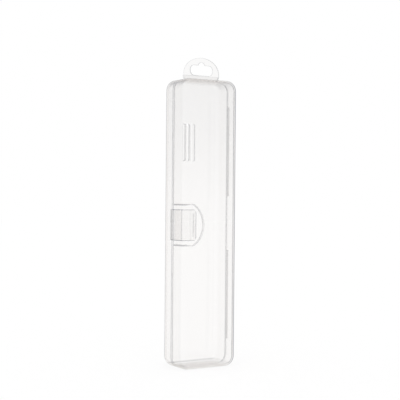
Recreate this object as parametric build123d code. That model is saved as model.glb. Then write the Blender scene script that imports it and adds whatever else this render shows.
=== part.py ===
"""Clear clamshell box for makeup brushes: two half shells, film hinges and a wrap-round latch.

Millimetres, +Z up along the length, origin at the middle of the bottom end. The cover faces -Y and the
tray +Y, and they part at the plane y = 0. The film hinges are on the +X side and the latch on the -X side.
"""

from build123d import *
import math
import os

# Shell
LENGTH = 205.0
WIDTH = 45.8
TRAY_DEPTH = 13.2
COVER_DEPTH = 13.2
WALL = 1.1
EDGE_R = 4.0
CORNER_EXTRA = 3.5
RIM_R = 0.5
PART_GAP = 0.12

# Film hinges: a film bead between a ridge on each side of the parting plane
FILM_R = 0.5
FILM_CLEAR = 0.06
COVER_FILM_OFF = 0.15
LATCH_FILM_OFF = 0.6
RIDGE_HEIGHT = 1.6
RIDGE_GAP = 0.12
FILM_MARGIN = 18.2
FILM_SPACING = 39.2

# Finger dish in the cover, D-shaped from the front, and the latch that lies in it
DISH_HEIGHT = 28.5
DISH_STRAIGHT = 8.7
DISH_REACH = 17.15
DISH_DEPTH = 1.15
DISH_EDGE_R = 0.95
LATCH_DROP = 0.75
LATCH_MARGIN = 3.3
LATCH_CLEAR = 0.15
FLAP_PROUD = 0.4
FINGER_ROOM = 5.75
BEND_R = 1.1
TONGUE_ROOT = 2.6
LATCH_CORNER = 2.5
PAD_LENGTH = 4.3
PAD_RISE = 0.3

# Catch bead on the dish's floor, under the latch's free end
CATCH_INSET = 1.5
CATCH_LENGTH = 16.5
CATCH_R = 0.6
CATCH_RISE = 0.45
CATCH_CLEAR = 0.12

# Grip ribs on the cover, placed from the box's left side
RIB_PLACES = (1.5, 4.2, 8.7)
RIB_LENGTH = 25.8
RIB_WIDTH = 2.0
RIB_RISE = 0.65
RIB_ABOVE_MIDDLE = 57.0

# Hang tab on the tray, over the parting plane, with its euro slot and a foot behind it
TAB_WIDTH = 29.5
TAB_RISE = 16.2
TAB_BELLY = 4.7
TAB_THICK = 1.3
TAB_EDGE_R = 0.4
TAB_CLEAR = 0.2
FOOT_RISE = 3.3
FOOT_DEPTH = 2.0
SLOT_WIDTH = 18.5
SLOT_HEIGHT = 7.2
SLOT_CORNER = 3.0
SLOT_BASE = 3.6
BUMP_WIDTH = 5.3
BUMP_RISE = 2.2

# Worked out from the sizes above
MIDDLE = LENGTH / 2
CORNER_R = EDGE_R + CORNER_EXTRA
LEFT = -WIDTH / 2
COVER_HINGE_OUT = FILM_R + COVER_FILM_OFF
LATCH_HINGE_OUT = FILM_R + LATCH_FILM_OFF
RIDGE_START = FILM_R + FILM_CLEAR
LATCH_MIDDLE = MIDDLE - LATCH_DROP
LATCH_HEIGHT = DISH_HEIGHT - 2 * LATCH_MARGIN
LATCH_REACH = DISH_REACH - FINGER_ROOM
LATCH_INSET = DISH_DEPTH - LATCH_CLEAR
CATCH_X = LEFT + LATCH_REACH - CATCH_INSET
CATCH_Y = -COVER_DEPTH + DISH_DEPTH + CATCH_R - CATCH_RISE
RIB_R = (RIB_WIDTH**2 / 4 + RIB_RISE**2) / (2 * RIB_RISE)
ROOT_OVERLAP = WALL / 2
BEYOND = WIDTH


def block(x, y, z):
    """A box from (low, high) pairs."""
    size = [high - low for low, high in (x, y, z)]
    centre = [(high + low) / 2 for low, high in (x, y, z)]
    return Pos(*centre) * Box(*size)


def front_plane(y):
    """A drawing plane at y, seen from the front: its x is +X, its y is +Z and it extrudes towards -Y."""
    return Plane(origin=(0, y, 0), x_dir=(1, 0, 0), z_dir=(0, -1, 0))


def outline(inset):
    """The shell's rounded rectangle seen from the front, drawn in by inset."""
    plate = RectangleRounded(WIDTH - 2 * inset, LENGTH - 2 * inset, CORNER_R - inset)
    return Pos(0, MIDDLE) * plate


def full_form(inset):
    """The closed box's rounded form, drawn in by inset on every side."""
    depth = TRAY_DEPTH + COVER_DEPTH - 2 * inset
    form = extrude(front_plane(TRAY_DEPTH - inset) * outline(inset), depth)
    faces = form.faces().filter_by(Axis.Y)
    return fillet(faces.edges(), EDGE_R - inset)


def half_form(y_low, y_high):
    """The outer form cut off between two planes, with the edge at the parting plane rounded a little."""
    half = full_form(0) & block((-BEYOND, BEYOND), (y_low, y_high), (-BEYOND, LENGTH + BEYOND))
    rim = half.faces().filter_by(Axis.Y).sort_by(SortBy.AREA)[-1]
    return fillet(rim.edges(), RIM_R)


def latch_span():
    """The (low, high) heights of the latch."""
    return LATCH_MIDDLE - LATCH_HEIGHT / 2, LATCH_MIDDLE + LATCH_HEIGHT / 2


def hinge_spans():
    """The (low, high) heights of the lower and upper hinge films."""
    near = FILM_SPACING / 2
    return (FILM_MARGIN, MIDDLE - near), (MIDDLE + near, LENGTH - FILM_MARGIN)


def hinge_out(side):
    """How far a hinge axis stands out from its wall: side 1 is the cover's, side -1 the latch's."""
    return COVER_HINGE_OUT if side > 0 else LATCH_HINGE_OUT


def from_axis(side, low, high):
    """The x pair of a piece between two distances out from a hinge axis."""
    axis = WIDTH / 2 + hinge_out(side)
    return tuple(sorted((side * (axis + low), side * (axis + high))))


def film(side, span):
    """A film bead on a hinge axis, with the web that roots it on the tray's ridge."""
    low, high = span
    axis_x = side * (WIDTH / 2 + hinge_out(side))
    bead = Pos(axis_x, 0, (low + high) / 2) * Cylinder(FILM_R, high - low)
    web = block(from_axis(side, -FILM_R, -RIDGE_GAP), (0, RIDGE_START), span)
    return bead + web


def ridge(side, toward, span):
    """The ridge along a film. toward is 1 on the tray and -1 on the cover."""
    y = sorted((toward * RIDGE_START, toward * (RIDGE_START + RIDGE_HEIGHT)))
    return block(from_axis(side, -hinge_out(side) - ROOT_OVERLAP, -RIDGE_GAP), y, span)


def dish_prism(grow=0.0):
    """The dish's D outline, grown by grow, run through the cover's depth."""
    half = DISH_HEIGHT / 2 + grow
    knee = LEFT + DISH_STRAIGHT
    outside = LEFT - BEYOND
    upper = (knee, LATCH_MIDDLE + half)
    lower = (knee, LATCH_MIDDLE - half)
    straight = Polyline(upper, (outside, upper[1]), (outside, lower[1]), lower)
    round_end = ThreePointArc(lower, (LEFT + DISH_REACH + grow, LATCH_MIDDLE), upper)
    return extrude(front_plane(0) * make_face([straight, round_end]), COVER_DEPTH + BEYOND)


def dish_rim(cover):
    """The edges where the dish's wall meets the cover's outside."""
    walls = dish_prism().faces().filter_by(Axis.Y, reverse=True)
    floor = full_form(DISH_DEPTH)
    near = COVER_DEPTH * 1e-4
    on_wall = [edge for edge in cover.edges() if min(wall.distance_to(edge @ 0.5) for wall in walls) < near]
    return [edge for edge in on_wall if edge.distance_to(floor) > DISH_DEPTH / 2]


def grip_rib(place):
    """The part of a sunk rod with round ends that stands on the cover's face or on its rounded edge."""
    lean = math.asin(max(0.0, 1 - place / EDGE_R))
    sink = RIB_R - RIB_RISE
    x = LEFT + place + sink * math.sin(lean)
    y = -COVER_DEPTH + EDGE_R * (1 - math.cos(lean)) + sink * math.cos(lean)
    straight = RIB_LENGTH - RIB_WIDTH
    rod = Cylinder(RIB_R, straight)
    ends = Pos(0, 0, straight / 2) * Sphere(RIB_R) + Pos(0, 0, -straight / 2) * Sphere(RIB_R)
    return Pos(x, y, MIDDLE + RIB_ABOVE_MIDDLE) * (rod + ends) - full_form(ROOT_OVERLAP)


def catch_bead(radius, length):
    """The rounded bead that the latch's tongue snaps over."""
    return Pos(CATCH_X, CATCH_Y, LATCH_MIDDLE) * Cylinder(radius, length)


def hang_tab():
    """An oval tab over the parting plane, with a slot for a shop peg, and its foot on the tray."""
    slot_middle = LENGTH + SLOT_BASE + SLOT_HEIGHT / 2
    bump_middle = LENGTH + SLOT_BASE + SLOT_HEIGHT + BUMP_RISE - BUMP_WIDTH / 2
    oval = Pos(0, LENGTH + TAB_BELLY) * Ellipse(TAB_WIDTH / 2, TAB_RISE - TAB_BELLY)
    slot = Pos(0, slot_middle) * RectangleRounded(SLOT_WIDTH, SLOT_HEIGHT, SLOT_CORNER)
    bump = Pos(0, bump_middle) * Circle(BUMP_WIDTH / 2)
    face = oval - slot - bump
    across = (-BEYOND, BEYOND)
    plate = extrude(front_plane(TAB_THICK / 2) * face, TAB_THICK)
    plate = fillet(plate.faces().filter_by(Axis.Y).edges(), TAB_EDGE_R)
    plate &= block(across, across, (LENGTH + TAB_CLEAR, LENGTH + BEYOND))
    foot = extrude(front_plane(FOOT_DEPTH) * face, FOOT_DEPTH)
    foot &= block(across, across, (LENGTH - ROOT_OVERLAP, LENGTH + FOOT_RISE))
    return plate + foot


def rear_tray():
    """The rear half shell, with its hinge ridges and hang tab."""
    tray = half_form(0, TRAY_DEPTH) - full_form(WALL)
    for span in hinge_spans():
        tray += ridge(1, 1, span)
    tray += ridge(-1, 1, latch_span())
    return tray + hang_tab()


def front_cover():
    """The front half shell, with its hinge ridges, finger dish, catch bead and grip ribs."""
    outer = half_form(-COVER_DEPTH, -PART_GAP)
    dish_floor = full_form(DISH_DEPTH)
    backing = (outer - full_form(DISH_DEPTH + WALL)) & dish_prism(WALL)
    cover = (outer - full_form(WALL)) + backing - (dish_prism() - dish_floor)
    cover = fillet(dish_rim(cover), DISH_EDGE_R)
    cover += catch_bead(CATCH_R, CATCH_LENGTH) & outer
    for span in hinge_spans():
        cover += ridge(1, -1, span)
    for place in RIB_PLACES:
        cover += grip_rib(place)
    return cover


def latch_strip():
    """The whole latch: a plate along the cover's left wall, a bend, and a tongue along its face."""
    out_x = LEFT - FLAP_PROUD
    in_x = LEFT + LATCH_INSET
    end_x = LEFT + LATCH_REACH
    out_y = -COVER_DEPTH
    in_y = -COVER_DEPTH + LATCH_INSET
    pad_x = end_x - PAD_LENGTH
    pad_y = out_y - PAD_RISE
    profile = Polyline(
        (out_x, -RIDGE_START),
        (out_x, out_y),
        (pad_x, out_y),
        (pad_x + PAD_RISE, pad_y),
        (end_x, pad_y),
        (end_x, in_y),
        (in_x, in_y),
        (in_x, -RIDGE_START),
        close=True,
    )
    low, high = latch_span()
    strip = Pos(0, 0, low) * extrude(make_face(profile), high - low)
    bend = strip.edges().filter_by(Axis.Z).sort_by_distance((out_x, out_y, LATCH_MIDDLE))[0]
    strip = fillet(bend, BEND_R)
    free_end = strip.edges().filter_by(Axis.Y).group_by(Axis.X)[-1]
    return fillet(free_end, LATCH_CORNER)


def latch():
    """The latch's stiff plate, with the ridge along its film, and its springy tongue."""
    strip = latch_strip()
    side = block((LEFT - BEYOND, 0), (-COVER_DEPTH + TONGUE_ROOT, 0), (0, LENGTH))
    plate = (strip & side) + ridge(-1, -1, latch_span())
    groove = catch_bead(CATCH_R + CATCH_CLEAR, CATCH_LENGTH + 2 * CATCH_CLEAR)
    return plate, strip - side - groove


def main():
    lower_span, upper_span = hinge_spans()
    latch_flap, latch_tongue = latch()
    pieces = {
        "rear_tray": rear_tray(),
        "front_cover": front_cover(),
        "lower_hinge_film": film(1, lower_span),
        "upper_hinge_film": film(1, upper_span),
        "latch_hinge_film": film(-1, latch_span()),
        "latch_flap": latch_flap,
        "latch_tongue": latch_tongue,
    }
    os.makedirs("parts", exist_ok=True)
    for name, piece in pieces.items():
        export_step(piece, f"parts/{name}.step")


main()
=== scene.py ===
# %% [markdown]
# # A clear clamshell box for makeup brushes
#
# Boxes like this are moulded in one shot, usually from clear polypropylene: a rear tray with a hang tab, a
# front cover, thin film hinges between them on the right, and a latch that wraps round the left edge. This
# lesson dresses the measured solids so that they look like the real plastic. It starts by loading them, and
# it reads the outer boxes of single parts, which the pieces added later are built from.

# %% Load the solids
import bpy
import math
from mathutils import Matrix, Vector


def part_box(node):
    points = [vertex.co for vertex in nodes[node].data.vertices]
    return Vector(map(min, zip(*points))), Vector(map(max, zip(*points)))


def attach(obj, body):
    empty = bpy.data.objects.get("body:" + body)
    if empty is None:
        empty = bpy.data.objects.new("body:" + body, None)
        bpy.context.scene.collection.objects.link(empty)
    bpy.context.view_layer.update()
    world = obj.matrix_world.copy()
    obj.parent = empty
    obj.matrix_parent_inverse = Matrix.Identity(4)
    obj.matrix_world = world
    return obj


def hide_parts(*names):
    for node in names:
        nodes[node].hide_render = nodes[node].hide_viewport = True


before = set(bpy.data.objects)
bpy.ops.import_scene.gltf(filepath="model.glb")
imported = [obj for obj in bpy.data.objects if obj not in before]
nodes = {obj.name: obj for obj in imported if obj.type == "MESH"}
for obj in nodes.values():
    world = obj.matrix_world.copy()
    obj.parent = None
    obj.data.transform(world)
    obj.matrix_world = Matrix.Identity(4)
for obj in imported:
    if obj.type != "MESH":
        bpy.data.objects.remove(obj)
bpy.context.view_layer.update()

MM = 0.001
scene = bpy.context.scene
scene.view_settings.view_transform = "Standard"
print("nodes:", sorted(nodes))

# %% [markdown]
# ## The camera
#
# The box is seen from its left, level with its upper middle, from a good arm's length away and through a
# fairly long lens. A camera looks along its own -Z, so its three axes are worked out from two angles, and a
# small roll about the line of sight is added. The picture is square, so one lens length fits both ways.

# %% Camera
AZIMUTH = math.radians(-31.463)
ELEVATION = math.radians(0.471)
ROLL = math.radians(0.482)
AIM = Vector((-0.000236, 0.000144, 0.119292))
AWAY = 0.71042
LENS_MM = 88.94
SENSOR_MM = 36
NEAREST = 0.01

back = Vector((
    math.sin(AZIMUTH) * math.cos(ELEVATION),
    -math.cos(AZIMUTH) * math.cos(ELEVATION),
    math.sin(ELEVATION),
))
level = Vector((math.cos(AZIMUTH), math.sin(AZIMUTH), 0))
up = back.cross(level)
across = math.cos(ROLL) * level + math.sin(ROLL) * up
upright = math.cos(ROLL) * up - math.sin(ROLL) * level
turn = Matrix((across, upright, back)).transposed()
bpy.ops.object.camera_add(location=AIM + AWAY * back, rotation=turn.to_euler())
camera = bpy.context.object
camera.data.lens = LENS_MM
camera.data.sensor_width = SENSOR_MM
camera.data.clip_start = NEAREST
scene.camera = camera
print("camera at, mm:", [round(v / MM) for v in camera.location])

# %% [markdown]
# ## Writing shaders as sums
#
# A material is a graph of nodes, and long graphs are hard to read when every link takes a line. This class
# wraps an output socket, so that `0.1 + 0.05 * haze` adds the two Math nodes by itself. One method of the
# graph makes every other kind of node: its settings first, then the values or links of its sockets.

# %% Shader graph helper
class Value:
    """An output socket that takes part in Python sums."""

    def __init__(self, graph, socket):
        self.graph = graph
        self.socket = socket

    def maths(self, operation, first, second):
        return self.graph.add("ShaderNodeMath", {"operation": operation}, {0: first, 1: second})

    def __add__(self, other):
        return self.maths("ADD", self, other)

    def __radd__(self, other):
        return self.maths("ADD", other, self)

    def __sub__(self, other):
        return self.maths("SUBTRACT", self, other)

    def __rsub__(self, other):
        return self.maths("SUBTRACT", other, self)

    def __mul__(self, other):
        return self.maths("MULTIPLY", self, other)

    def __rmul__(self, other):
        return self.maths("MULTIPLY", other, self)

    def __pow__(self, other):
        return self.maths("POWER", self, other)

    def __abs__(self):
        return self.maths("ABSOLUTE", self, 0.0)


class Graph:
    """The node tree of a material or a world."""

    def __init__(self, tree):
        self.tree = tree
        self.tree.nodes.clear()

    def add(self, kind, settings=None, sockets=None, out=0):
        node = self.tree.nodes.new(kind)
        for name, value in (settings or {}).items():
            setattr(node, name, value)
        for name, value in (sockets or {}).items():
            if isinstance(value, Value):
                self.tree.links.new(value.socket, node.inputs[name])
            else:
                node.inputs[name].default_value = value
        return Value(self, node.outputs[out]) if node.outputs else node

    def place(self, scale=(1, 1, 1)):
        """Object coordinates, stretched by scale."""
        coordinates = self.add("ShaderNodeTexCoord", out=3)
        return self.add("ShaderNodeMapping", {}, {"Vector": coordinates, "Scale": scale})

    def millimetres(self):
        """The x, y and z of Object coordinates, in millimetres."""
        return self.split(self.place((1000, 1000, 1000)))

    def normal(self):
        """The x, y and z of the surface's direction, in the piece's own axes."""
        return self.split(self.add("ShaderNodeTexCoord", out=1))

    def split(self, vector):
        parts = self.add("ShaderNodeSeparateXYZ", {}, {"Vector": vector})
        return [Value(self, output) for output in parts.socket.node.outputs]

    def larger(self, first, second):
        return self.add("ShaderNodeMath", {"operation": "MAXIMUM"}, {0: first, 1: second})

    def slope(self, value, start, end):
        """Goes smoothly from 0 at the start to 1 at the end."""
        return self.add(
            "ShaderNodeMapRange",
            {"interpolation_type": "SMOOTHSTEP"},
            {"Value": value, "From Min": start, "From Max": end, "To Min": 0.0, "To Max": 1.0},
        )

    def band(self, distance, half, fade):
        """1 within half a band's width of where the distance is 0, fading to 0 beside it."""
        return self.slope(abs(distance), half + fade, half)


# %% [markdown]
# ## Clear polypropylene
#
# Clear polypropylene is not glass. In walls this thin light passes nearly straight through, and the eye
# reads the shape from three things: a faint milky haze that thickens where a wall turns away, the gloss of
# the skin, and a greyness that grows with the length of plastic that the light has crossed. In walls this
# thin, bending the light as glass does gives dark specks instead of lines.
#
# The haze comes first. It gathers on the rounded long edges and round the two ends, where it grows
# towards the top of the box as painted shade. A clear wall shows its outer and its inner skin, and the two
# may need different amounts. Cycles turns the normal round when a skin is seen from behind, so the skins are
# told apart by place: by the distance from the axis that the edge is rounded about. A line of sight crosses
# many skins, and Cycles gives up after 8 unless it is told otherwise.

# %% Haze on rounded edges, with painted shade towards the top
# Lengths for haze are in millimetres
HALF_WIDTH, HALF_DEPTH = 22.9, 13.2
OUTER_R, INNER_R = 4.0, 2.9
FLAT_HAZE = 0.12
HIGH_END_HAZE_AND_SHADE, LOW_END_HAZE = 0.6, 0.05
END_SHADE_FADE = (40, 160)
TURN_POWER = 3
SKINS_CROSSED = 48

scene.cycles.transparent_max_bounces = SKINS_CROSSED


def edge_haze_and_shade(graph, facing, outer_haze, inner_haze):
    """Haze where a wall turns away from the eye, mostly on rounded edges, and painted shade on the upper
    ends.
    """
    x, y, z = graph.millimetres()
    nx, ny, nz = graph.normal()
    out_x = abs(x) - (HALF_WIDTH - OUTER_R)
    out_y = abs(y) - (HALF_DEPTH - OUTER_R)
    from_axis = (out_x ** 2 + out_y ** 2) ** 0.5
    round_haze = inner_haze + (outer_haze - inner_haze) * graph.slope(from_axis, INNER_R, OUTER_R)
    # Round the ends the haze grows towards the top: painted shade, not a change in the plastic
    end_haze_and_shade = LOW_END_HAZE + (HIGH_END_HAZE_AND_SHADE - LOW_END_HAZE) * graph.slope(z, *END_SHADE_FADE)
    # Four times the product is 1 where a face leans halfway between two directions, and 0 along either
    long_edge = 4 * (nx * nx) * (ny * ny)
    end_edge = 4 * (nz * nz) * (1 - nz * nz)
    return facing ** TURN_POWER * (FLAT_HAZE + round_haze * long_edge + end_haze_and_shade * end_edge)


print("skins that light may cross:", scene.cycles.transparent_max_bounces)

# %% [markdown]
# ## Skin and inside
#
# The finish is a nearly see-through Principled skin, with a mirror mixed in and an absorbing volume inside.
# Slow noise, drawn out along the box like the flow in a moulding, makes the haze uneven and ripples the
# gloss, and fine noise breaks the gloss up. The mirror grows where a skin turns away from the eye, as on any
# smooth surface. Each piece brings functions along for the lines of painted shade and the painted highlights
# that only it has.

# %% Clear plastic
ABSORB_PER_M = 32.0
ABSORB_COLOR = (0.7, 0.58, 0.47, 1)
MILK_COLOR = (0.29, 0.3, 0.33, 1)
WHITE = (1, 1, 1, 1)
STREAKS_PER_M, STREAK_STRETCH = 90, (1, 1, 0.25)
GRAINS_PER_M = 2600
RIPPLE_STRENGTH, RIPPLE_DEPTH = 0.1, 0.2 * MM
GLOSS, EDGE_GLOSS, GLOSS_POWER = 0.04, 0.2, 5


def clear_plastic(name, haze, outer_haze, inner_haze, rough, marks, painted_highlight=None):
    """The first haze is all over, two are for rounded edges; marks and a painted highlight add a piece's own.
    """
    material = bpy.data.materials.new(name)
    material.use_nodes = True
    graph = Graph(material.node_tree)
    drawn_out = graph.place(STREAK_STRETCH)
    streaks = graph.add("ShaderNodeTexNoise", {}, {"Vector": drawn_out, "Scale": STREAKS_PER_M, "Detail": 1})
    grain = graph.add("ShaderNodeTexNoise", {}, {"Vector": graph.place(), "Scale": GRAINS_PER_M, "Detail": 2})
    ripple = {"Height": streaks, "Strength": RIPPLE_STRENGTH, "Distance": RIPPLE_DEPTH}
    bump = graph.add("ShaderNodeBump", {}, ripple)
    facing = graph.add("ShaderNodeLayerWeight", {}, {"Blend": 0.5}, out=1)
    edge = edge_haze_and_shade(graph, facing, outer_haze, inner_haze)
    # Noise is 0.5 on average, so the haze and the roughness of the mirror keep their values on average
    milky = graph.add(
        "ShaderNodeBsdfPrincipled",
        {},
        {
            "Base Color": MILK_COLOR,
            "Roughness": 0.5 + 0.2 * grain,
            "Specular IOR Level": 0.0,
            "Alpha": haze * (0.6 + 0.8 * streaks) + edge + marks(graph),
        },
    )
    mirror = graph.add(
        "ShaderNodeBsdfPrincipled",
        {},
        {
            "Base Color": WHITE,
            "Metallic": 1.0,
            "Roughness": rough * (0.8 + 0.4 * grain),
            "Normal": bump,
        },
    )
    gloss = GLOSS + EDGE_GLOSS * facing ** GLOSS_POWER
    # A piece's painted highlight mixes in more mirror by place
    if painted_highlight:
        gloss = gloss + painted_highlight(graph)
    skin = graph.add("ShaderNodeMixShader", {}, {0: gloss, 1: milky, 2: mirror})
    inside = graph.add("ShaderNodeVolumeAbsorption", {}, {"Color": ABSORB_COLOR, "Density": ABSORB_PER_M})
    graph.add("ShaderNodeOutputMaterial", {}, {"Surface": skin, "Volume": inside})
    print(name, "nodes:", len(material.node_tree.nodes))
    return material


# %% [markdown]
# ## Lines along the rims
#
# Where a clear wall turns sharply, light is thrown aside and the bend shows as a grey line. Each such line
# is painted shade: a band of haze around the place where a distance, worked out from Object coordinates in
# millimetres, is zero. The longest are the rims along the parting line. They lean a little across the box,
# probably because a mould needs draft, and the solids have none. They are painted darker on the latch's
# side, except behind the latch. More painted shade darkens the box towards its top and on its floor.

# %% Painted shade on rims, top and floor
root_low, root_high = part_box("latch_flap")
LATCH_MIDDLE = (root_low.z + root_high.z) / 2 / MM
BODY_TOP, BODY_FADE = 205.0, 0.2
RIM_Y, RIM_LEAN = 0.25, 0.025
RIM_HALF, RIM_FADE, RIM_ENDS = 0.35, 0.3, 4
RIM_SHADE, LATCH_RIM_SHADE = 0.2, 0.3
BEHIND_LATCH = 10.5
TOP_SHADE, TOP_FROM = 0.03, 90
FLOOR_SHADE, FLOOR_Z, FLOOR_FADE = 0.06, 2.4, 0.8


def shell_marks(graph):
    """What tray and cover share: painted shade on the rims, towards the top and on the floor."""
    x, y, z = graph.millimetres()
    nz = graph.normal()[2]
    length = graph.band(z - BODY_TOP / 2, BODY_TOP / 2 - RIM_ENDS, RIM_ENDS)
    # The rim lines are painted shade where the rims bend the light, darker towards the latch
    rim = graph.band(y + RIM_LEAN * x - RIM_Y, RIM_HALF, RIM_FADE) * length
    to_latch = graph.slope(x, start=0, end=-20)
    clear_of_latch = 1 - graph.band(z - LATCH_MIDDLE, BEHIND_LATCH, fade=1)
    rim = rim * (RIM_SHADE + LATCH_RIM_SHADE * to_latch * clear_of_latch)
    # Painted shade that darkens the box towards its top
    top = TOP_SHADE * graph.slope(z, TOP_FROM, BODY_TOP)
    # Painted shade on the box's floor, on faces that point up near the bottom
    faces_up = graph.slope(nz, start=0.2, end=0.8)
    low = FLOOR_SHADE * faces_up * graph.slope(z, FLOOR_Z + FLOOR_FADE, FLOOR_Z)
    return graph.slope(z, BODY_TOP + BODY_FADE, BODY_TOP) * (rim + top + low)


print("middle of the latch, mm:", round(LATCH_MIDDLE, 2))

# %% [markdown]
# ## Lines on the tray
#
# The tray adds the hang tab and the heel, a line of painted shade inside where the floor turns up into the
# back. The tab is a thin plate on a thicker foot. Its cut edges catch the light and show as lines of painted
# shade, darkest on the slot's left side and on the tab's right side. An ellipse a little smaller than the tab
# tells its rim from the slot's.

# %% Haze and painted shade on tab and heel
TAB_HAZE, TAB_EDGE_SHADE, TAB_FADE = 0.02, 0.2, 0.5
TAB_HALF, TAB_UP, TAB_BELLY = 14.75, 11.5, 209.7
TAB_RIM = (0.65, 0.8)
LEFT_SHARE, RIGHT_EXTRA = 0.4, 0.9
FOOT_HAZE, FOOT_TOP, FOOT_FADE = 0.05, 208.3, 0.1
HEEL_SHADE, HEEL_Z = 0.12, 2.0


def tray_marks(graph):
    x, y, z = graph.millimetres()
    ny = graph.normal()[1]
    # The heel is a line of painted shade in the crease where the floor turns up
    faces_front = graph.slope(ny, start=-0.3, end=-0.6)
    heel = HEEL_SHADE * graph.band(z - HEEL_Z, half=0.25, fade=0.4) * faces_front
    oval = (x * (1 / TAB_HALF)) ** 2 + ((z - TAB_BELLY) * (1 / TAB_UP)) ** 2
    rim = graph.slope(oval, *TAB_RIM)
    rim_share = LEFT_SHARE + RIGHT_EXTRA * graph.slope(x, start=-10, end=10)
    slot_share = 1 + graph.slope(x, start=2, end=-6)
    # The tab's cut edges are lines of painted shade, darker on the slot's left and on the tab's right
    edges = TAB_EDGE_SHADE * (1 - ny * ny) * (rim * rim_share + (1 - rim) * slot_share)
    foot = FOOT_HAZE * graph.slope(z, FOOT_TOP + FOOT_FADE, FOOT_TOP - FOOT_FADE)
    tab = graph.slope(z, BODY_TOP, BODY_TOP + TAB_FADE)
    return shell_marks(graph) + heel + tab * (TAB_HAZE + foot + edges)


print("top of the tab, mm:", round(TAB_BELLY + TAB_UP, 1))

# %% [markdown]
# ## Lines on the finger dish
#
# The cover has a shallow D-shaped dish, so that a finger gets under the latch. Its outline, where the dish's
# wall bends the light, is painted shade. The outline is a strip cut by a circle, so the larger of the two
# distances is the distance to the D. Drawing it this way needs no curve and no extra mesh. Towards the box's
# edge the painted outline is darker, and a second painted line lies just inside it.

# %% Painted shade on the finger dish
DISH_SHADE, ARC_SHADE, DISH_EDGE_SHADE = 0.24, 0.04, 0.2
DISH_HALF = 14.5
ARC_X, ARC_R = -21.99, 17.2
SECOND_LINE = 0.6


def dish_marks(graph):
    x, y, z = graph.millimetres()
    up = abs(z - LATCH_MIDDLE)
    strip = up - DISH_HALF
    circle = ((x - ARC_X) ** 2 + up ** 2) ** 0.5 - ARC_R
    outline = graph.band(graph.larger(strip, circle), half=0.1, fade=0.25)
    second = graph.band(strip + SECOND_LINE, half=0.2, fade=0.25)
    at_arc = graph.slope(x, start=-14, end=-8)
    at_edge = graph.slope(x, start=-15, end=-20)
    # The outline and the second line are painted shade
    line = outline * (DISH_SHADE + ARC_SHADE * at_arc + DISH_EDGE_SHADE * at_edge)
    return line + DISH_EDGE_SHADE * (at_edge * second)


print("dish outline reaches x, mm:", round(ARC_X + ARC_R, 2))

# %% [markdown]
# ## Lines on the grip ribs
#
# Three upright ribs above the dish give the thumb a hold. Of each rib the far flank shows, so its line of
# painted shade follows that side alone, and bends round with the rib's ends. Two painted highlights lie as
# bright bands along the near sides of the second and third rib. They are made by mixing in more of the mirror
# there.

# %% Painted shade and painted highlights on the grip ribs
RIB_EDGES = (-20.4, -17.4, -12.9)
RIB_SHADES = (0.34, 0.36, 0.2)
RIB_MIDDLE, RIB_HALF, RIB_ROUND, RIB_FADE = 159.5, 12.9, 1.0, 0.6
SIDE_FADE = 0.2
HIGHLIGHT_PLACES = (-19.15, -15.8)
RIB_HIGHLIGHT = 0.5
FACE_Y, FACE_FADE = -9.0, 1


def over_ribs(graph):
    """1 on the cover's front at the height of the ribs, and 0 elsewhere."""
    x, y, z = graph.millimetres()
    return graph.band(z - RIB_MIDDLE, RIB_HALF, RIB_FADE) * graph.slope(y, FACE_Y, FACE_Y - FACE_FADE)


def rib_marks(graph):
    x, y, z = graph.millimetres()
    past = graph.larger(abs(z - RIB_MIDDLE) - (RIB_HALF - RIB_ROUND), 0.0)
    lines = 0.0
    # Each rib's far flank gets a line of painted shade
    for edge, haze in zip(RIB_EDGES, RIB_SHADES):
        axis_x = edge - RIB_ROUND
        flank = ((x - axis_x) ** 2 + past ** 2) ** 0.5 - RIB_ROUND
        far_side = graph.slope(x, axis_x - SIDE_FADE, axis_x + SIDE_FADE)
        lines = lines + haze * (graph.band(flank, half=0.05, fade=0.3) * far_side)
    return lines * over_ribs(graph)


def cover_highlight(graph):
    x, y, z = graph.millimetres()
    # Painted highlights: bright bands beside the ribs, made with more mirror
    highlight_bands = sum(graph.band(x - place, half=0.4, fade=0.25) for place in HIGHLIGHT_PLACES)
    return RIB_HIGHLIGHT * (over_ribs(graph) * highlight_bands)


def cover_marks(graph):
    return shell_marks(graph) + dish_marks(graph) + rib_marks(graph)


print("rib lines at x, mm:", RIB_EDGES)

# %% [markdown]
# ## Dressing tray and cover
#
# Tray and cover already have the right shape, so they keep their meshes and only change their material. How
# much haze their rounded edges take was found by trying. The cover's take the most, and on the tray the inner
# skin takes far less than the outer one.

# %% Dress tray and cover
SHELL_HAZE, SHELL_ROUGH = 0.003, 0.05
COVER_EDGE_HAZE = 4.0
TRAY_OUTER_HAZE, TRAY_INNER_HAZE = 1.2, 0.2


def dress(piece, material):
    piece.data.materials.clear()
    piece.data.materials.append(material)


tray_plastic = clear_plastic(
    "clear_tray", SHELL_HAZE, TRAY_OUTER_HAZE, TRAY_INNER_HAZE, SHELL_ROUGH, tray_marks
)
cover_plastic = clear_plastic(
    "clear_cover", SHELL_HAZE, COVER_EDGE_HAZE, COVER_EDGE_HAZE, SHELL_ROUGH, cover_marks, cover_highlight
)
dress(nodes["rear_tray"], tray_plastic)
dress(nodes["front_cover"], cover_plastic)
for name in ("rear_tray", "front_cover"):
    print(name, "wears", nodes[name].data.materials[0].name)

# %% [markdown]
# ## Picking faces and edges in code
#
# By hand, a face is clicked and then extruded. In a script it is picked by where its middle is and which way
# it points. The first helper clears the selection, marks what passes a test, and stays in edit mode, ready
# for the next operator. The others extrude what is picked, start a piece as a block between two corners, and
# apply a modifier.

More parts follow.
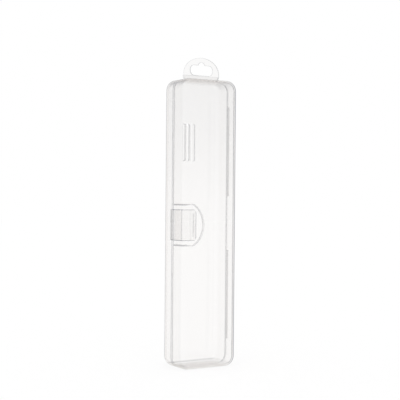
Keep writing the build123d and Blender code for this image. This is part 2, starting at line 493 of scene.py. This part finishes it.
# %% Modelling helpers
def pick(piece, kind, test):
    """Selects the faces or edges whose (middle, direction) passes the test, and leaves edit mode on."""
    bpy.ops.object.mode_set(mode="EDIT")
    bpy.ops.mesh.select_mode(type=kind)
    bpy.ops.mesh.select_all(action="DESELECT")
    bpy.ops.object.mode_set(mode="OBJECT")
    mesh = piece.data
    for item in mesh.polygons if kind == "FACE" else mesh.edges:
        corners = [mesh.vertices[i].co for i in item.vertices]
        middle = sum(corners, Vector()) / len(corners)
        direction = item.normal if kind == "FACE" else (corners[1] - corners[0]).normalized()
        item.select = test(middle, direction)
    bpy.ops.object.mode_set(mode="EDIT")


def pull(x=0.0, y=0.0, z=0.0):
    """Extrudes what is selected by a distance along each axis."""
    bpy.ops.mesh.extrude_region_move(TRANSFORM_OT_translate={"value": (x, y, z)})


def start_block(name, low, high):
    bpy.ops.object.select_all(action="DESELECT")
    bpy.ops.mesh.primitive_cube_add(size=1, location=(low + high) / 2, scale=high - low)
    bpy.ops.object.transform_apply()
    bpy.context.object.name = name
    return bpy.context.object


def settle(piece, modifier, **settings):
    """Adds a modifier and applies it at once."""
    added = piece.modifiers.new(modifier.lower(), modifier)
    for name, value in settings.items():
        setattr(added, name, value)
    bpy.context.view_layer.objects.active = piece
    bpy.ops.object.modifier_apply(modifier=added.name)


# %% [markdown]
# ## The latch
#
# The latch is a thick plate on the box's left wall that turns the front edge and ends in a springy tongue
# with a raised finger pad. The solids hold it as two nodes, plate and tongue, which touch inside the clear
# plastic and would show a false line there. So it is modelled afresh as one piece: a block for the root is
# extruded down the wall, round the corner and along the front.

# %% Latch body
tip_low, tip_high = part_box("latch_tongue")
WALL_X = tip_low.x
INNER_X = root_high.x
RIDGE_DEEP = 1.6 * MM
PAD_RISE, PAD_LENGTH = 0.3 * MM, 4.3 * MM
PAD_X = tip_high.x - PAD_LENGTH
FRONT_Y = tip_low.y + PAD_RISE
TONGUE_THICK = 1.0 * MM
INNER_Y = FRONT_Y + TONGUE_THICK

ridge_y = root_high.y - RIDGE_DEEP
clip = start_block(
    "latch_clip", Vector((WALL_X, ridge_y, root_low.z)), Vector((INNER_X, root_high.y, root_high.z))
)
pick(clip, "FACE", lambda middle, normal: normal.y < -0.5)
pull(y=INNER_Y - ridge_y)
pull(y=FRONT_Y - INNER_Y)
pick(clip, "FACE", lambda middle, normal: normal.x > 0.5 and middle.y < INNER_Y)
pull(x=PAD_X - INNER_X)
pull(x=PAD_RISE)
pull(x=tip_high.x - PAD_X - PAD_RISE)
pick(clip, "FACE", lambda middle, normal: normal.y < -0.5 and middle.x > PAD_X + PAD_RISE)
bpy.ops.transform.translate(value=(0, -PAD_RISE, 0))
pick(clip, "FACE", lambda middle, normal: normal.x < -0.5 and middle.y > ridge_y)
pull(x=root_low.x - WALL_X)
bpy.ops.object.mode_set(mode="OBJECT")
print("latch faces:", len(clip.data.polygons))

# %% [markdown]
# ## Bend, corners and groove
#
# Moulded edges are never sharp. Two bevels of picked edges round the bend and the corners of the free end. A
# rod is cut out of the inner side, where the tongue snaps over the catch on the cover. A modifier then rounds
# every edge that is still sharp, which is less work than picking each.

# %% Latch bend, corners and groove
TOUCH = 0.01 * MM
TIP_ROUND, BEND_ROUND = 2.5 * MM, 1.1 * MM
CATCH_X, CATCH_Y = tip_high.x - 1.5 * MM, FRONT_Y + 1.3 * MM
GROOVE_R, GROOVE_LENGTH = 0.72 * MM, 16.74 * MM
LATCH_BEVEL = 0.25 * MM
ROUND_SIDES = 32
SHARP = math.radians(35)


def on_bend(middle, along):
    return abs(along.z) > 0.9 and middle.x < WALL_X + TOUCH and middle.y < FRONT_Y + TOUCH


pick(clip, "EDGE", on_bend)
bpy.ops.mesh.bevel(offset=BEND_ROUND, segments=6, affect="EDGES")
pick(clip, "EDGE", lambda middle, along: abs(along.y) > 0.9 and middle.x > tip_high.x - TOUCH)
bpy.ops.mesh.bevel(offset=TIP_ROUND, segments=8, affect="EDGES")
bpy.ops.object.mode_set(mode="OBJECT")

bpy.ops.object.select_all(action="DESELECT")
bpy.ops.mesh.primitive_cylinder_add(
    vertices=ROUND_SIDES,
    radius=GROOVE_R,
    depth=GROOVE_LENGTH,
    location=(CATCH_X, CATCH_Y, (tip_low.z + tip_high.z) / 2),
)
groove = bpy.context.object
settle(clip, "BOOLEAN", operation="DIFFERENCE", object=groove)
bpy.data.objects.remove(groove)
settle(clip, "BEVEL", width=LATCH_BEVEL, segments=3, limit_method="ANGLE", angle_limit=SHARP)
bpy.ops.object.select_all(action="DESELECT")
clip.select_set(True)
bpy.ops.object.shade_smooth_by_angle(angle=SHARP)
print("latch, mm:", [round(v / MM, 1) for v in clip.dimensions])

# %% [markdown]
# ## Lines on the latch
#
# The latch is a little milkier than the shell, and its edges show as lines of painted shade. The shade marks
# its two ends, twice as much on the side plate. It also marks the bend round the box's edge, the root beside
# the film, growing towards the film, and the step up to the finger pad. Near the free end there are two fine
# painted lines: the groove, on the inner skin alone, and the edge of the tip, on the front alone, because the
# tip's other edge would double that line.

# %% Haze and painted shade on the latch
LATCH_HAZE, LATCH_EDGE_HAZE, LATCH_ROUGH = 0.02, 1.0, 0.06
LATCH_END_SHADE, BEND_SHADE, ROOT_SHADE = 0.4, 0.2875, 0.15
STEP_SHADE, CATCH_SHADE, TIP_SHADE = 0.05, 0.5, 0.7
BEND_IN, CATCH_IN, CATCH_HALF, ROOT_REACH = 0.5, 0.4, 8.0, 4


def latch_marks(graph):
    x, y, z = graph.millimetres()
    nx = graph.normal()[0]
    wall_x, pad_x, catch_x, tip_x = WALL_X / MM, PAD_X / MM, CATCH_X / MM, tip_high.x / MM
    front_y, root_y = FRONT_Y / MM, ridge_y / MM
    half_height = (root_high.z - root_low.z) / 2 / MM
    up = z - LATCH_MIDDLE
    on_side = graph.slope(x, start=wall_x + 1.2, end=wall_x + 1.0)
    on_front = graph.slope(y, start=front_y + 0.3, end=front_y + 0.1)
    on_inside = graph.slope(y, start=front_y + 0.3, end=front_y + 0.5)
    ends = graph.slope(abs(up), start=half_height - 0.6, end=half_height - 0.1)
    bend = graph.band(y - front_y - BEND_IN, half=0.2, fade=0.3) * on_side
    root = graph.slope(y, root_y - ROOT_REACH, root_y) * on_side
    step = graph.band(x - pad_x, half=0.15, fade=0.3)
    catch = graph.band(x - catch_x + CATCH_IN, half=0.05, fade=0.2) * graph.band(up, CATCH_HALF, fade=0.5)
    tip = graph.slope(x, start=tip_x - 0.6, end=tip_x - 0.4) * (1 - nx * nx)
    # Ends, bend, root, step, groove and tip are all painted shade
    plate = LATCH_END_SHADE * (ends + ends * on_side) + BEND_SHADE * bend + ROOT_SHADE * root
    return plate + STEP_SHADE * step + CATCH_SHADE * (catch * on_inside) + TIP_SHADE * (tip * on_front)


latch_plastic = clear_plastic(
    "clear_latch", LATCH_HAZE, LATCH_EDGE_HAZE, LATCH_EDGE_HAZE, LATCH_ROUGH, latch_marks
)
dress(clip, latch_plastic)
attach(clip, "latch")
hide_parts("latch_flap", "latch_tongue")
print(clip.name, "wears", clip.data.materials[0].name)

# %% [markdown]
# ## The hinge films
#
# Cover, tray and latch hang on thin films that bulge outwards when the box is shut. Each is a round bead on
# its hinge axis with a web back to the tray's ridge. A cylinder gives the bead. Then the faces on the side of
# the tray are extruded and flattened against the ridge, which is quicker than bridging two open rims, and the
# ends are rounded off.

# %% Hinge films
FILM_HAZE, FILM_EDGE_HAZE, FILM_ROUGH = 0.13, 1.0, 0.08
RIDGE_SPARE = 0.03 * MM
FILM_BEVEL, FILM_SHARP = 0.12 * MM, math.radians(50)
FILM_SMOOTH = math.radians(40)


def no_marks(graph):
    return 0.0


film = clear_plastic("clear_film", FILM_HAZE, FILM_EDGE_HAZE, FILM_EDGE_HAZE, FILM_ROUGH, no_marks)


def hinge_film(node):
    low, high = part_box(node)
    axis_x = (low.x + high.x) / 2
    outward = math.copysign(1, axis_x)
    web_y = high.y - RIDGE_SPARE
    bpy.ops.object.select_all(action="DESELECT")
    bpy.ops.mesh.primitive_cylinder_add(
        vertices=ROUND_SIDES,
        radius=-low.y,
        depth=high.z - low.z,
        location=(axis_x, 0, (low.z + high.z) / 2),
    )
    bpy.ops.object.transform_apply()
    bead = bpy.context.object
    bead.name = node.replace("film", "bead")

    def toward_ridge(middle, normal):
        return abs(normal.z) < 0.5 and normal.y > 0.05 and normal.x * outward < -0.25

    pick(bead, "FACE", toward_ridge)
    bpy.ops.mesh.extrude_region_move()
    bpy.ops.transform.resize(value=(1, 0, 1), center_override=(axis_x, web_y, low.z))
    bpy.ops.object.mode_set(mode="OBJECT")
    settle(bead, "BEVEL", width=FILM_BEVEL, segments=2, limit_method="ANGLE", angle_limit=FILM_SHARP)
    bpy.ops.object.select_all(action="DESELECT")
    bead.select_set(True)
    bpy.ops.object.shade_smooth_by_angle(angle=FILM_SMOOTH)
    dress(bead, film)
    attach(bead, "tray")
    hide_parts(node)
    print(bead.name, "mm:", [round(v / MM, 1) for v in bead.dimensions])


for node in ("lower_hinge_film", "upper_hinge_film", "latch_hinge_film"):
    hinge_film(node)

# %% [markdown]
# ## Backdrop
#
# A clear box shows what is behind it, and here that is plain white. So the world is white to the camera, to
# reflections and through the plastic. It lights matt surfaces a little less, to leave room for a lamp. The
# light path tells what kind of ray is looking, so one background can do both by changing its strength.

# %% Backdrop
PLAIN_LIGHT, SEEN_EXTRA = 0.9, 0.1
SEEN_BY = ("Is Camera Ray", "Is Glossy Ray", "Is Transmission Ray")


def in_view(graph):
    """1 to the camera, to reflections and through the plastic, and 0 to light on matt surfaces."""
    rays = graph.add("ShaderNodeLightPath").socket.node.outputs
    seen = sum(Value(graph, rays[name]) for name in SEEN_BY)
    return graph.add("ShaderNodeMath", {"operation": "MINIMUM"}, {0: seen, 1: 1.0})


world = bpy.data.worlds.new("studio")
scene.world = world
world.use_nodes = True
sky = Graph(world.node_tree)
strength = PLAIN_LIGHT + SEEN_EXTRA * in_view(sky)
white = sky.add("ShaderNodeBackground", {}, {"Color": WHITE, "Strength": strength})
sky.add("ShaderNodeOutputWorld", {}, {"Surface": white})
print("backdrop nodes:", len(world.node_tree.nodes))

# %% [markdown]
# ## Floor
#
# The box stands on white paper that runs on into the backdrop, and only a faint shadow is wanted. Plain matt
# paper would take all of it. So three quarters of what is seen of the floor is an even white of its own, and
# one quarter is matt paper that keeps the shadow.

# %% Floor
SHADOW_KEPT = 0.25
PAPER_GRAIN_PER_M = 40
FLOOR_SIZE, FLOOR_DROP = 6, 0.2 * MM

bpy.ops.mesh.primitive_plane_add(size=FLOOR_SIZE, location=(0, 0, -FLOOR_DROP))
floor = bpy.context.object
floor.name = "floor"
ground = bpy.data.materials.new("white_sweep")
ground.use_nodes = True
sweep = Graph(ground.node_tree)
speckle = sweep.add("ShaderNodeTexNoise", {}, {"Vector": sweep.place(), "Scale": PAPER_GRAIN_PER_M})
matt = sweep.add(
    "ShaderNodeBsdfPrincipled",
    {},
    {"Base Color": WHITE, "Roughness": 0.8 + 0.1 * speckle, "Specular IOR Level": 0.0},
)
glow = sweep.add("ShaderNodeEmission", {}, {"Color": WHITE, "Strength": 1.0})
lit = sweep.add("ShaderNodeMixShader", {}, {0: (1 - SHADOW_KEPT) * in_view(sweep), 1: matt, 2: glow})
sweep.add("ShaderNodeOutputMaterial", {}, {"Surface": lit})
floor.data.materials.append(ground)
print("floor, m:", [round(v, 2) for v in floor.dimensions])

# %% [markdown]
# ## Soft lamp
#
# One large lamp, high up on the camera's side, adds the rest of the light. A sun lamp needs no place, only a
# direction, and its wide angle makes the shadow soft.

# %% Soft lamp
LAMP_TILT, LAMP_TURN, LAMP_SPREAD = math.radians(35), math.radians(-40), math.radians(60)
LAMP_POWER = 0.4

bpy.ops.object.light_add(type="SUN", rotation=(LAMP_TILT, 0, LAMP_TURN))
lamp = bpy.context.object
lamp.data.angle = LAMP_SPREAD
lamp.data.energy = LAMP_POWER
print("lamp power:", round(lamp.data.energy, 2))
